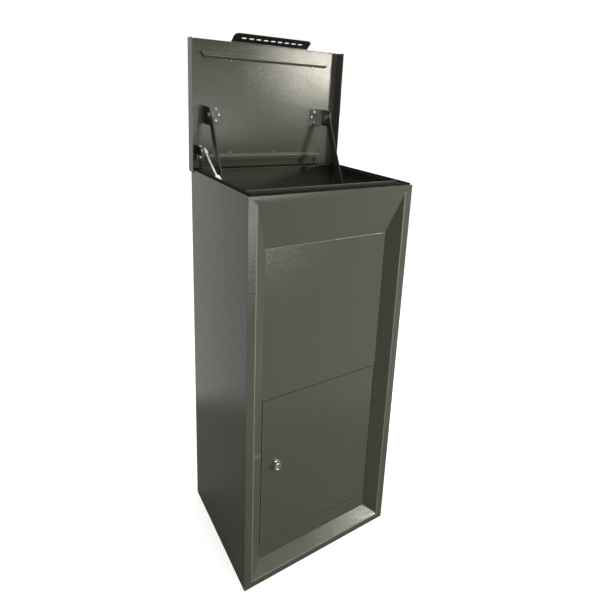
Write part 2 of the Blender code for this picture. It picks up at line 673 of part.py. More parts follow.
def strut_stud(name, head, shoulder, place, finish, parent):
    """Stud that the strut's socket turns on: a round head against its plate, then the pin."""
    profile = [(0, head), (STUD_HEAD_R, head), (STUD_HEAD_R, shoulder), (STUD_R, shoulder),
               (STUD_R, STUD_END), (0, STUD_END)]
    add_part(name, turned(profile, "x", (0, *place.yz)), finish, parent, True)


# ---- Door -----------------------------------------------------------------------------------

def door(finish, pin_finish):
    """Door pan on two pivot pins at its right."""
    axis = axis_empty("door_axis", DOOR_PIVOT)
    low = Vector((DOOR_LEFT, RECESS_Y, DOOR_FOOT)) - DOOR_PIVOT
    high = Vector((DOOR_RIGHT, RECESS_Y + DOOR_FOLD, DOOR_TOP)) - DOOR_PIVOT
    panel = add_part("door_panel", tray(low, high, SHEET, 1, 1), finish, axis)
    through = 2 * SHEET
    for z, label in ((DOOR_FOOT, "foot_pin_hole"), (DOOR_TOP, "top_pin_hole")):
        cut(panel, rod(DOOR_PIN_R + GAP, z - through, z + through, "z", (0, 0, 0)), label)
    cut(panel, rod(LOCK_BARREL_R + GAP, -through, through, "y", LOCK - DOOR_PIVOT), "lock_hole")

    inside, outside = 0.007, 0.006
    place = (*DOOR_PIVOT.xy, 0.0)
    for name, start, end in (("top", DOOR_TOP - inside, DOOR_TOP + outside),
                             ("foot", DOOR_FOOT - outside, DOOR_FOOT + inside)):
        add_part(f"door_pin_{name}", rod(DOOR_PIN_R, start, end, "z", place), pin_finish, None, True)
    return axis


def cam_lock(door_axis, finish, chrome, pin_finish, dark):
    """Cam lock: headed barrel, nut behind the door, turning plug with its cam, and the keeper."""
    lock = LOCK - DOOR_PIVOT
    bore = LOCK_PLUG_R + GAP
    head, shoulder, rear = -0.0115, -0.0030, 0.0200
    rim_r = LOCK_HEAD_R - 0.001
    barrel = [(bore, head), (rim_r - 0.0015, head), (rim_r, head + 0.0015), (rim_r, shoulder - 0.0005),
              (LOCK_HEAD_R, shoulder), (LOCK_HEAD_R, -GAP), (LOCK_BARREL_R, -GAP), (LOCK_BARREL_R, rear),
              (bore, rear)]
    add_part("lock_barrel", turned(barrel, "y", lock, ring=True, segments=28), chrome, door_axis, True)

    nut_r, nut_end = 0.0125, 0.0065
    turns = [math.tau * step / 6 for step in range(6)]
    corners = [(lock.x + nut_r * math.cos(turn), lock.z + nut_r * math.sin(turn)) for turn in turns]
    nut_shape = prism(corners, "y", lock.y + SHEET + GAP, lock.y + nut_end)
    nut = add_part("lock_nut", nut_shape, pin_finish, door_axis)
    cut(nut, rod(LOCK_BARREL_R + GAP, -OVERRUN, nut_end + OVERRUN, "y", lock), "thread_bore")

    turn = axis_empty("lock_axis", lock, 0.0, door_axis)
    face, plug_end = head + 0.001, rear + 0.0002
    plug = [(0, face), (LOCK_PLUG_R - 0.0006, face), (LOCK_PLUG_R, face + 0.0006), (LOCK_PLUG_R, plug_end),
            (0, plug_end)]
    plug_part = add_part("lock_plug", turned(plug, "y", (0, 0, 0), segments=28), chrome, turn, True)
    key_half, key_reach = 0.0008, 0.0036
    keyway = block((-key_half, face - OVERRUN, -key_reach), (key_half, face + 0.003, key_reach))
    cut(plug_part, keyway, "keyway")
    cam_front, cam_back = plug_end + GAP, plug_end + GAP + 0.0025
    arm = stadium((0.0, CAM_WIDTH / 2 - CAM_LENGTH / 2), math.pi / 2, CAM_LENGTH + 0.006, CAM_WIDTH)
    add_part("lock_cam", prism(arm, "y", cam_front, cam_back), pin_finish, turn)
    near = cam_back + GAP
    screw = [(0, near), (0.0050, near), (0.0050, near + 0.0019), (0.0034, near + 0.0029), (0, near + 0.0029)]
    add_part("lock_cam_screw", turned(screw, "y", (0, 0, 0)), dark, turn, True)

    wall, catch = -HALF_W + SHEET + GAP, RECESS_Y + 0.0165
    path = [(wall, catch - DOOR_STOP), (wall, catch), (-RECESS_HALF_W - OVERRUN, catch)]
    keeper = folded(path, -SHEET, "z", LOCK.z - KEEPER_HALF, LOCK.z + KEEPER_HALF)
    add_part("lock_keeper", keeper, finish)


def build():
    clear_scene()
    paint = material("painted_steel", (0.125, 0.125, 0.105), 0.42, 0.25)
    dark_paint = material("dark_painted_steel", (0.055, 0.060, 0.052), 0.45, 0.2)
    black = material("black_tab", (0.012, 0.012, 0.013), 0.40, 0.0)
    rubber = material("rubber", (0.012, 0.012, 0.013), 0.70, 0.0)
    zinc = material("zinc", (0.55, 0.55, 0.53), 0.35, 1.0)
    chrome = material("chrome", (0.80, 0.80, 0.80), 0.12, 1.0)
    light = material("light_strut", (0.75, 0.76, 0.74), 0.35, 0.2)

    side_panel(-1, "side_panel_left", paint)
    side_panel(1, "side_panel_right", paint)
    rear_panel(paint)
    front_frame(paint)
    upper_front_panel(paint)
    door_sill(paint)
    floor_tray(paint)
    front_channel(paint)
    rim_seal(rubber)

    lid = axis_empty("lid_axis", LID_HINGE, -LID_OPEN)
    lid_pan(lid, paint)
    lid_rail(lid, "lid_rail_front", -0.283, -1, 0.189, paint)
    lid_rail(lid, "lid_rail_rear", -0.038, 1, 0.178, paint)
    rivets = ((-0.110, -0.2795), (0.136, -0.2795), (-0.111, -0.0425), (0.0215, -0.0425))
    for number, (x, y) in enumerate(rivets, 1):
        dome(lid, f"lid_rivet_{number}", (x, y, LID_RISE - LID_SHEET - 2 * GAP), 0.0022, 0.0016, zinc)
    handle_tab(lid, black)
    for side, name in ((-1, "left"), (1, "right")):
        hinge_leaves(side, name, lid, dark_paint, zinc)
        arm_bracket(side, name, lid, dark_paint, zinc, zinc)
        link_arm(side, name, lid, dark_paint, zinc)
    shelf(paint, zinc, dark_paint)
    gas_strut(lid, dark_paint, light, light, zinc)
    door_axis = door(paint, zinc)
    cam_lock(door_axis, paint, chrome, zinc, dark_paint)
    bpy.context.view_layer.update()


build()
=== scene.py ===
"""Top-loading drop box: the looks of a folded-steel cabinet, its open lid, arms, gas strut and door.

Metres, +Z up, the front looks along -Y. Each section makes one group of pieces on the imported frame.
"""

import json
import math

import bmesh
import bpy
from mathutils import Matrix, Vector

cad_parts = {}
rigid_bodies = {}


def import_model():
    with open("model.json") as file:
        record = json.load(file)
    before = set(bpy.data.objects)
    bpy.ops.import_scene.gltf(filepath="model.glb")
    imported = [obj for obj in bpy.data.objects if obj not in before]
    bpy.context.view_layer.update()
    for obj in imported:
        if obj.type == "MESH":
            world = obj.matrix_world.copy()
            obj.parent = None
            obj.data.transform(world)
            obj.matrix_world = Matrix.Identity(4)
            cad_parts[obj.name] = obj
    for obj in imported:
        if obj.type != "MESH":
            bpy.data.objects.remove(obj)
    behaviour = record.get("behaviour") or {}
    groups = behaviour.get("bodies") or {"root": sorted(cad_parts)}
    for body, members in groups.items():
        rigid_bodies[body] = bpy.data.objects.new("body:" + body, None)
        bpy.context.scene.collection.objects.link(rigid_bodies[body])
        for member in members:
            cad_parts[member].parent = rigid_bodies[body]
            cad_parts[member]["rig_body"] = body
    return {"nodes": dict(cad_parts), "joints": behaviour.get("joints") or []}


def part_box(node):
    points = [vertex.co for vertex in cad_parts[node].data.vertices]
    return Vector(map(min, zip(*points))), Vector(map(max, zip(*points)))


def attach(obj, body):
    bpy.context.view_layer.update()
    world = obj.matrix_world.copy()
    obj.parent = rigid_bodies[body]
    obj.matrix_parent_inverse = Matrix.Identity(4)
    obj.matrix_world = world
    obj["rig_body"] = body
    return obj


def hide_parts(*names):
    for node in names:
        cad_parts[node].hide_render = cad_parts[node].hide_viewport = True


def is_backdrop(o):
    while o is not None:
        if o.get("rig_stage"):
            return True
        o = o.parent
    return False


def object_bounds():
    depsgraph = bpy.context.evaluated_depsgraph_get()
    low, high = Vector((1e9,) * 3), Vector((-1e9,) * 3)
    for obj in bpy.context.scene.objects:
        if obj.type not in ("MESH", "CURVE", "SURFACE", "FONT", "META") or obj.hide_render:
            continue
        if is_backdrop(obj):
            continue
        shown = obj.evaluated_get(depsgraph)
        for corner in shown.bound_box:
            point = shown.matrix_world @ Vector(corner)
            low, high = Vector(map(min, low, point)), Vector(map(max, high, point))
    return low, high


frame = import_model()
cad_low, cad_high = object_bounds()


# ---- Side, rear and floor sheets ------------------------------------------------------------
# The cabinet's body is folded from 1.5 mm sheet steel: two sides, a back and a shallow floor tray.
# The folds are rounded, and everything is powder coated in a warm olive grey with a fine grain.

SHEET = 0.0015
FOLD_RADIUS = 0.0022
EDGE_RADIUS = 0.0004
STEEL_COLOUR = (0.094, 0.102, 0.080)
STEEL_SHADE = (0.088, 0.096, 0.075)
# How much lighter the painted highlight on rounded folds and eased edges is than the coat.
FOLD_HIGHLIGHT_GAIN = 2.2
PEEL = (340.0, 0.0014)
GRAIN = (700.0, 0.0005)
FLAT_TURN = math.radians(0.5)
FOLD_TURN = math.radians(15)
SMOOTH_TURN = math.radians(38)
NARROW = 0.0013


def alone(piece):
    """Selects one piece only, and makes it active."""
    bpy.ops.object.select_all(action="DESELECT")
    piece.select_set(True)
    bpy.context.view_layer.objects.active = piece


def noise(nodes, links, place, scale, detail=2.0, rough=0.5):
    """A noise texture on the piece's own coordinates."""
    made = nodes.new("ShaderNodeTexNoise")
    made.inputs["Scale"].default_value = scale
    made.inputs["Detail"].default_value = detail
    made.inputs["Roughness"].default_value = rough
    links.new(place, made.inputs["Vector"])
    return made.outputs["Fac"]


def spread(nodes, links, factor, low, high, start=0.3, end=0.7):
    """Turns a 0 to 1 pattern into a number between two values."""
    made = nodes.new("ShaderNodeMapRange")
    made.inputs["From Min"].default_value = start
    made.inputs["From Max"].default_value = end
    made.inputs["To Min"].default_value = low
    made.inputs["To Max"].default_value = high
    links.new(factor, made.inputs["Value"])
    return made.outputs["Result"]


def tint(nodes, links, factor, first, second, start=0.35, end=0.65):
    """Turns a 0 to 1 pattern into a colour between two colours."""
    made = nodes.new("ShaderNodeValToRGB")
    made.color_ramp.elements[0].position = start
    made.color_ramp.elements[0].color = (*first, 1.0)
    made.color_ramp.elements[1].position = end
    made.color_ramp.elements[1].color = (*second, 1.0)
    links.new(factor, made.inputs["Fac"])
    return made.outputs["Color"]


def bumps(nodes, links, height, strength, distance, under=None):
    """Raises a surface by a pattern, on top of an earlier bump if one is given."""
    made = nodes.new("ShaderNodeBump")
    made.inputs["Strength"].default_value = strength
    made.inputs["Distance"].default_value = distance
    links.new(height, made.inputs["Height"])
    if under is not None:
        links.new(under, made.inputs["Normal"])
    return made.outputs["Normal"]


def finish_start(name, metallic=0.0):
    """A new material, its nodes, its links, its shader and the piece's own coordinates."""
    made = bpy.data.materials.new(name)
    made.use_nodes = True
    nodes, links = made.node_tree.nodes, made.node_tree.links
    shader = nodes["Principled BSDF"]
    shader.inputs["Metallic"].default_value = metallic
    place = nodes.new("ShaderNodeTexCoord").outputs["Object"]
    return made, nodes, links, shader, place


def powder_coat(name, colour, shade, smooth, rough, grain):
    """Baked powder paint: orange peel under a finer grain, slow changes of tone, and a painted highlight on
    the rounded folds and eased edges.

    PEEL and GRAIN are each the pattern's scale and its depth.
    """
    made, nodes, links, shader, place = finish_start(name)
    cloud = noise(nodes, links, place, 3.5, 3.0)
    tone = tint(nodes, links, cloud, shade, colour)
    # Painted highlight: the faces marked as rounded get a much lighter colour than the coat.
    painted_fold_highlight = nodes.new("ShaderNodeMix")
    painted_fold_highlight.data_type = "RGBA"
    painted_fold_highlight.inputs["B"].default_value = (*[min(1.0, part * FOLD_HIGHLIGHT_GAIN) for part in colour], 1.0)
    rounded = nodes.new("ShaderNodeAttribute")
    rounded.attribute_name = "rounded"
    links.new(rounded.outputs["Fac"], painted_fold_highlight.inputs["Factor"])
    links.new(tone, painted_fold_highlight.inputs["A"])
    links.new(painted_fold_highlight.outputs["Result"], shader.inputs["Base Color"])
    patch = noise(nodes, links, place, 22.0, 3.0)
    links.new(spread(nodes, links, patch, smooth, rough), shader.inputs["Roughness"])
    skin = None
    for scale, depth in (PEEL, GRAIN):
        skin = bumps(nodes, links, noise(nodes, links, place, scale, 1.0), grain, depth, skin)
    links.new(skin, shader.inputs["Normal"])
    return made


def select_folds(piece, sheet):
    """Selects the outer edges of folds: both faces there are wider than the sheet is thick."""
    shape = bmesh.from_edit_mesh(piece.data)
    shape.select_mode = {"EDGE"}
    for edge in shape.edges:
        widths = []
        for face in edge.link_faces:
            widths.append(face.calc_area() / max(side.calc_length() for side in face.edges))
        wide = len(widths) == 2 and min(widths) > 1.7 * sheet
        edge.select_set(wide and edge.calc_face_angle_signed(0.0) > FOLD_TURN)
    bmesh.update_edit_mesh(piece.data)


def round_off(piece, edge_radius, angle=30.0, steps=2):
    """Eases every sharp edge and smooths the piece, with the flat faces kept flat.

    The narrow faces of the eased edges are marked, so that the paint can carry a painted highlight on them.
    """
    alone(piece)
    ease = piece.modifiers.new("ease", "BEVEL")
    ease.width = edge_radius
    ease.segments = steps
    ease.limit_method = "ANGLE"
    ease.angle_limit = math.radians(angle)
    bpy.ops.object.modifier_apply(modifier=ease.name)
    bpy.ops.object.shade_smooth_by_angle(angle=SMOOTH_TURN)
    even = piece.modifiers.new("even", "WEIGHTED_NORMAL")
    even.keep_sharp = True
    even.weight = 80
    bpy.ops.object.modifier_apply(modifier=even.name)
    # Marks the narrow faces of eased edges, where the paint carries a painted highlight.
    rounded = piece.data.attributes.new("rounded", "FLOAT", "FACE")
    for face, mark in zip(piece.data.polygons, rounded.data):
        ring = [piece.data.vertices[corner].co for corner in face.vertices]
        longest = max((there - here).length for here, there in zip(ring, ring[1:] + ring[:1]))
        slanted = max(abs(part) for part in face.normal) <= 0.999
        mark.value = 1.0 if slanted and face.area < NARROW * longest else 0.0
    split = piece.modifiers.new("split", "TRIANGULATE")
    split.min_vertices = 5
    split.keep_custom_normals = True
    bpy.ops.object.modifier_apply(modifier=split.name)


def settle(piece, name, body, slot, finish, *nodes):
    """Names a finished piece, puts its place in its mesh, coats it and hangs it on its body."""
    alone(piece)
    bpy.ops.object.transform_apply(location=True, rotation=True, scale=True)
    piece.name = piece.data.name = name
    piece.data.materials.clear()
    piece.data.materials.append(finish)
    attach(piece, body)
    if nodes:
        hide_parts(*nodes)
    return piece


def sheet_copy(node, name, slot, finish, fold=FOLD_RADIUS, edge=EDGE_RADIUS, sheet=SHEET, mitred=False):
    """The frame's own sheet with its folds rounded and its cut edges eased.

    A mitred sheet keeps its flat ring- and U-shaped faces in four-sided parts, split at the corners:
    as one face each, they would close over what they go round.
    """
    original = frame["nodes"][node]
    piece = bpy.data.objects.new(name, original.data.copy())
    bpy.context.scene.collection.objects.link(piece)
    alone(piece)
    bpy.ops.object.mode_set(mode="EDIT")
    bpy.ops.mesh.select_mode(type="EDGE")
    bpy.ops.mesh.select_all(action="SELECT")
    bpy.ops.mesh.remove_doubles(threshold=1e-5)
    if mitred:
        bpy.ops.mesh.tris_convert_to_quads(face_threshold=FLAT_TURN, shape_threshold=math.pi)
    else:
        bpy.ops.mesh.dissolve_limited(angle_limit=FLAT_TURN)
    if fold:
        bpy.ops.mesh.select_all(action="DESELECT")
        select_folds(piece, sheet)
        bpy.ops.mesh.bevel(offset=fold, segments=4, affect="EDGES", clamp_overlap=True)
    bpy.ops.object.mode_set(mode="OBJECT")
    round_off(piece, edge)
    return settle(piece, name, original["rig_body"], slot, finish, node)


steel = powder_coat("olive_grey_powder_coat", STEEL_COLOUR, STEEL_SHADE, 0.14, 0.17, 0.24)
sheet_copy("side_panel_left", "side_sheet_left", "paint", steel)
sheet_copy("side_panel_right", "side_sheet_right", "paint", steel)
sheet_copy("rear_panel", "rear_sheet", "paint", steel)
sheet_copy("floor_tray", "floor_tray_sheet", "paint", steel, mitred=True)


# ---- Front bezel and fixed panels -----------------------------------------------------------
# One sheet is pressed into a flat border with four bevels that run back to the recessed front.
# The fixed upper panel and the sill under the door are folded sheets spot-welded behind it.

sheet_copy("front_frame", "front_bezel", "paint", steel, fold=0.0016, mitred=True)
sheet_copy("upper_front_panel", "upper_front_sheet", "paint", steel)
sheet_copy("door_sill", "door_sill_sheet", "paint", steel)
sheet_copy("front_channel", "front_channel_sheet", "paint", steel)
sheet_copy("lock_keeper", "lock_keeper_sheet", "paint", steel)


# ---- Rim seal -------------------------------------------------------------------------------
# A black rubber strip lies all round the rim: two soft ridges with a groove between them,
# crossed by small ribs that hold the strip's core.

SEAL_WIDTH = 0.0080
RIDGE = 0.0026
RIDGE_RADIUS = 0.0009
GROOVE_DEPTH = 0.0016
RIB_PITCH = 0.0120
RIB_LENGTH = 0.0030
RIB_END = 0.01


def rubber_finish(name, colour):
    """Matt black rubber: a faint bloom and a slightly uneven skin."""
    made, nodes, links, shader, place = finish_start(name)
    bloom = noise(nodes, links, place, 60.0, 3.0)
    lighter = tuple(part * 1.7 for part in colour)
    links.new(tint(nodes, links, bloom, colour, lighter), shader.inputs["Base Color"])
    links.new(spread(nodes, links, bloom, 0.5, 0.7), shader.inputs["Roughness"])
    skin = bumps(nodes, links, noise(nodes, links, place, 800.0), 0.2, 0.0002)
    links.new(skin, shader.inputs["Normal"])
    shader.inputs["Specular IOR Level"].default_value = 0.10
    return made


rubber = rubber_finish("black_rubber", (0.006, 0.006, 0.0065))
seal_low, seal_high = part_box("rim_seal")
seal = bpy.data.objects.new("seal", frame["nodes"]["rim_seal"].data.copy())
bpy.context.scene.collection.objects.link(seal)
alone(seal)
bpy.ops.object.mode_set(mode="EDIT")
bpy.ops.mesh.select_mode(type="FACE")
bpy.ops.mesh.select_all(action="SELECT")
bpy.ops.mesh.remove_doubles(threshold=1e-5)
bpy.ops.mesh.dissolve_limited(angle_limit=FLAT_TURN)
bpy.ops.mesh.select_all(action="DESELECT")
shape = bmesh.from_edit_mesh(seal.data)
for face in shape.faces:
    face.select_set(face.normal.z > 0.9 and face.calc_center_median().z > seal_high.z - 0.0005)
bmesh.update_edit_mesh(seal.data)
bpy.ops.mesh.inset(thickness=RIDGE, depth=0.0)
bpy.ops.mesh.extrude_region_move(TRANSFORM_OT_translate={"value": (0.0, 0.0, -GROOVE_DEPTH)})
bpy.ops.mesh.select_mode(type="EDGE")
bpy.ops.mesh.select_all(action="DESELECT")
shape = bmesh.from_edit_mesh(seal.data)
for edge in shape.edges:
    edge.select_set(min(corner.co.z for corner in edge.verts) > seal_high.z - 0.0001)
bmesh.update_edit_mesh(seal.data)
bpy.ops.mesh.bevel(offset=RIDGE_RADIUS, segments=3, affect="EDGES")
bpy.ops.object.mode_set(mode="OBJECT")
round_off(seal, 0.00012, angle=50.0, steps=1)
settle(seal, "rim_seal_strip", "cabinet", "rubber", rubber, "rim_seal")


def join_copies(first, spots):
    """Copies a small piece to each of its places, as one mesh, and removes the first one."""
    parts = []
    for spot in spots:
        copy = bpy.data.objects.new(first.name, first.data.copy())
        copy.matrix_world = spot
        bpy.context.scene.collection.objects.link(copy)
        parts.append(copy)
    bpy.data.objects.remove(first)
    alone(parts[0])
    for part in parts:
        part.select_set(True)
    bpy.ops.object.transform_apply(location=True, rotation=True, scale=True)
    bpy.ops.object.join()
    return bpy.context.active_object


bpy.ops.object.select_all(action="DESELECT")
bpy.ops.mesh.primitive_cube_add(size=1.0)
rib = bpy.context.active_object
rib.scale = (RIB_LENGTH, SEAL_WIDTH - 2 * RIDGE + 0.0004, GROOVE_DEPTH * 0.8)
alone(rib)
bpy.ops.object.transform_apply(scale=True)
bpy.ops.object.mode_set(mode="EDIT")
bpy.ops.mesh.select_all(action="SELECT")
bpy.ops.mesh.bevel(offset=0.0003, segments=1, affect="EDGES")
bpy.ops.object.mode_set(mode="OBJECT")
half = seal_high.x - SEAL_WIDTH / 2
front, rear = seal_low.y + SEAL_WIDTH / 2, seal_high.y - SEAL_WIDTH / 2
level = seal_high.z - GROOVE_DEPTH * 0.6
notch = [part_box("hinge_leaf_lid_right")[end].x for end in (0, 1)]
ribs = []
width = 2 * (half - RIB_END)
across = int(width / RIB_PITCH)
for number in range(across + 1):
    x = -half + RIB_END + number * width / across
    ribs.append(Matrix.Translation((x, front, level)))
    if not notch[0] - RIB_LENGTH < abs(x) < notch[1] + RIB_LENGTH:
        ribs.append(Matrix.Translation((x, rear, level)))
length = rear - front - 2 * RIB_END
along = int(length / RIB_PITCH)
for number in range(along + 1):
    y = front + RIB_END + number * length / along
    for x in (-half, half):
        ribs.append(Matrix.Translation((x, y, level)) @ Matrix.Rotation(math.pi / 2, 4, "Z"))
# The ribs get a lighter black than the strip: a painted sheen for the glints on them.
rib_rubber_painted_sheen = rubber_finish("rib_rubber_painted_sheen", (0.014, 0.014, 0.0145))
settle(join_copies(rib, ribs), "rim_seal_ribs", "cabinet", "rubber", rib_rubber_painted_sheen)


# ---- Lid ------------------------------------------------------------------------------------
# A 1.2 mm lid pan with turned-down sides stands open on two hinges at the rear. Two shallow rails
# are riveted inside to keep it flat, and its handle tab is a separate black folded strip.

LID_SHEET = 0.0012
TAB_SHEET = 0.002

sheet_copy("lid_pan", "lid_sheet", "paint", steel, fold=0.0014, edge=0.0003, sheet=LID_SHEET, mitred=True)
sheet_copy("lid_rail_front", "lid_rail_front_sheet", "paint", steel, fold=0.0010, sheet=LID_SHEET)
sheet_copy("lid_rail_rear", "lid_rail_rear_sheet", "paint", steel, fold=0.0010, sheet=LID_SHEET)

black = powder_coat("black_powder_coat", (0.018, 0.018, 0.020), (0.014, 0.014, 0.015),
                    0.34, 0.44, 0.12)
sheet_copy("handle_tab", "handle_tab_sheet", "black_tab", black, fold=0.0015, sheet=TAB_SHEET)


# ---- Brackets, arms and hinges --------------------------------------------------------------
# Angle brackets screwed to the lid hold two flat link arms, which lift the shelf inside. The hinges
# are rolled butt hinges. All are pressed from thicker plate and coated in a dark green grey. On the
# brackets' ears and on the arms that dark tone is partly painted shade; the brackets' plates against
# the lid are given the lighter tone of the eased edges, near the lid's olive grey.

PLATE = 0.002

lid_open = math.radians(max(frame["joints"][0]["range_deg"]))
lid_facing = Matrix.Rotation(math.pi - lid_open, 4, "X")
lid_normal = lid_facing @ Vector((0.0, 0.0, 1.0))


def pale_plate(piece):
    """Gives a bracket's flat plate against the lid the lighter tone of its eased edges; the ear keeps the
    dark tone, which is partly painted shade.
    """
    for face, mark in zip(piece.data.polygons, piece.data.attributes["rounded"].data):
        if face.normal.dot(lid_normal) > 0.9:
            mark.value = 1.0


# Dark green grey coat; on the brackets' ears and on the arms its dark tone is partly painted shade.
dark = powder_coat("dark_coat_and_painted_shade", (0.044, 0.050, 0.044), (0.038, 0.044, 0.039), 0.27, 0.33, 0.12)
for side in ("left", "right"):
    bracket = sheet_copy(f"arm_bracket_{side}", f"arm_bracket_plate_{side}", "dark_paint", dark,
                         fold=0.0020, sheet=PLATE)
    pale_plate(bracket)
    sheet_copy(f"link_arm_{side}", f"link_arm_bar_{side}", "dark_paint", dark, fold=0.0, edge=0.0006)
    sheet_copy(f"hinge_leaf_cabinet_{side}", f"hinge_leaf_fixed_{side}", "dark_paint", dark, fold=0.0)
    sheet_copy(f"hinge_leaf_lid_{side}", f"hinge_leaf_moving_{side}", "dark_paint", dark, fold=0.0)
    sheet_copy(f"shelf_bracket_{side}", f"shelf_bracket_plate_{side}", "dark_paint", dark, fold=0.0)
bracket = sheet_copy("strut_bracket_lid", "strut_bracket_plate", "dark_paint", dark, fold=0.0016, sheet=PLATE)
pale_plate(bracket)
sheet_copy("strut_bracket_cabinet", "strut_foot_plate", "dark_paint", dark, fold=0.0)


# ---- Shelf ----------------------------------------------------------------------------------
# The guard shelf inside is a folded sheet with two upright cheeks, whose slots take the arms' pins.

sheet_copy("shelf_panel", "shelf_sheet", "paint", steel)


# ---- Screws, rivets and pins ----------------------------------------------------------------
# Bright zinc-plated fixings: pan-head screws with a cross recess hold the brackets, and small
# domed rivets hold the lid's rails. Pins are turned bar, and keep the frame's own shape.


def plated(name, colour, smooth, rough):
    """Bright metal plate: fine rubbing marks and cloudy gloss."""
    made, nodes, links, shader, place = finish_start(name, 1.0)
    cloud = noise(nodes, links, place, 120.0, 3.0)
    duller = tuple(part * 0.86 for part in colour)
    links.new(tint(nodes, links, cloud, duller, colour), shader.inputs["Base Color"])
    links.new(spread(nodes, links, cloud, smooth, rough), shader.inputs["Roughness"])
    skin = bumps(nodes, links, noise(nodes, links, place, 1500.0), 0.06, 0.0001)
    links.new(skin, shader.inputs["Normal"])
    return made


def turned_piece(profile, sides=32):
    """A turned piece: a disc drawn out along +Z and stepped in or out, by (radius, height)."""
    radius, start = profile[0]
    bpy.ops.object.select_all(action="DESELECT")
    bpy.ops.mesh.primitive_circle_add(vertices=sides, radius=radius, fill_type="NGON",
                                      location=(0, 0, start))
    piece = bpy.context.active_object
    bpy.ops.object.transform_apply(location=True)
    bpy.ops.object.mode_set(mode="EDIT")
    bpy.ops.mesh.select_all(action="SELECT")
    for (before, low), (after, high) in zip(profile, profile[1:]):
        bpy.ops.mesh.extrude_region_move(TRANSFORM_OT_translate={"value": (0.0, 0.0, high - low)})
        share = after / before
        bpy.ops.transform.resize(value=(share, share, 1.0), center_override=(0.0, 0.0, high))
    bpy.ops.mesh.select_all(action="SELECT")
    bpy.ops.mesh.normals_make_consistent(inside=False)
    bpy.ops.object.mode_set(mode="OBJECT")
    return piece


def carve(piece, sizes, place, turn=0.0):
    """Cuts a narrow block out of a piece."""
    bpy.ops.object.select_all(action="DESELECT")
    bpy.ops.mesh.primitive_cube_add(size=1.0, location=place, rotation=(0.0, 0.0, turn))
    cutter = bpy.context.active_object
    cutter.scale = sizes
    alone(piece)
    bite = piece.modifiers.new("bite", "BOOLEAN")
    bite.object = cutter
    bite.solver = "EXACT"
    bpy.ops.object.modifier_apply(modifier=bite.name)
    bpy.data.objects.remove(cutter)


def pan_screw(radius, height):
    """A pan head with a cross recess."""
    head = turned_piece([(radius, 0.0), (radius, 0.35 * height), (0.93 * radius, 0.62 * height),
                         (0.75 * radius, 0.85 * height), (0.45 * radius, height)], sides=24)
    for turn in (0.0, math.pi / 2):
        carve(head, (1.1 * radius, 0.26 * radius, height), (0.0, 0.0, 0.95 * height), turn)
    round_off(head, 0.00012, angle=40.0, steps=1)
    return head


def place_copy(first, name, matrix, body, slot, finish, *nodes):
    """A copy of a fixing, with its own mesh, at its place."""
    copy = bpy.data.objects.new(name, first.data.copy())
    copy.matrix_world = matrix
    bpy.context.scene.collection.objects.link(copy)
    return settle(copy, name, body, slot, finish, *nodes)


zinc = plated("bright_zinc", (0.72, 0.72, 0.69), 0.24, 0.36)
SCREW_HEIGHT = 0.0022
RIVET_HEIGHT = 0.0015
screw = pan_screw(0.0038, SCREW_HEIGHT)
rivet = turned_piece([(0.0022, 0.0), (0.0021, 0.0005), (0.0017, 0.0011), (0.0010, 0.0014),
                      (0.0004, RIVET_HEIGHT)])
round_off(rivet, 0.0001, steps=1)
fixings = [node for node in sorted(frame["nodes"]) if "_screw_" in node or "lid_rivet" in node]
for number, node in enumerate(fixings):
    first, height = (rivet, RIVET_HEIGHT) if "rivet" in node else (screw, SCREW_HEIGHT)
    low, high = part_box(node)
    foot = (low + high) / 2 - lid_normal * (high.y - low.y) / 2
    matrix = Matrix.Translation(foot) @ lid_facing @ Matrix.Rotation(0.7 * number, 4, "Z")
    place_copy(first, f"{node}_head", matrix, "lid", "zinc", zinc, node)

leaf_low, leaf_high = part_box("hinge_leaf_cabinet_right")
for side, name in ((-1, "left"), (1, "right")):
    for number, share in enumerate((0.15, 0.50, 0.85), 1):
        x = side * (leaf_low.x + (leaf_high.x - leaf_low.x) * share)
        spot = (x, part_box("rear_panel")[1].y + 0.0028, leaf_low.z + 0.011)
        matrix = Matrix.Translation(spot) @ Matrix.Rotation(-math.pi / 2, 4, "X")
        place_copy(screw, f"hinge_screw_{name}_{number}", matrix, "cabinet", "zinc", zinc)
for first in (screw, rivet):
    bpy.data.objects.remove(first)


# ---- Gas strut ------------------------------------------------------------------------------
# One gas spring on the left helps the lid up: a bright rod runs into a pale painted cylinder with
# rolled grooves, and each end has a metal socket on a ball stud.

chrome = plated("polished_chrome", (0.86, 0.86, 0.86), 0.06, 0.12)
pale = powder_coat("pale_grey_coat", (0.80, 0.81, 0.79), (0.74, 0.75, 0.73), 0.24, 0.32, 0.04)
bright = plated("bright_rod", (0.90, 0.90, 0.89), 0.34, 0.44)
joints = {joint["name"]: joint for joint in frame["joints"]}
strut_top = Vector(joints["strut_swing"]["pos_m"])
strut_up = Vector(joints["strut_stroke"]["axis"])
strut_facing = (-strut_up).to_track_quat("Z", "Y").to_matrix().to_4x4()
strut_turn = Matrix.Translation(strut_top) @ strut_facing
ROD_R = 0.0030
TUBE_R = 0.0075
GROOVE_R = 0.0068
SOCKET_R = 0.0065
TUBE_START = 0.099
TUBE_END = 0.232
strut_end = (strut_top.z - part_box("strut_foot_socket")[0].z) / strut_up.z

rod_shape = [(0.0030, -0.0085), (0.0052, -0.0078), (SOCKET_R, -0.0050), (SOCKET_R, 0.0070),
             (0.0054, 0.0078), (0.0054, 0.0092), (0.0060, 0.0100), (0.0060, 0.0125),
             (0.0045, 0.0145), (ROD_R, 0.0146), (ROD_R, TUBE_START + 0.02)]
rod = turned_piece(rod_shape)
rod.matrix_world = strut_turn
round_off(rod, 0.0002, steps=2)
settle(rod, "strut_rod_and_socket", "strut_rod", "light_strut", bright, "strut_rod")

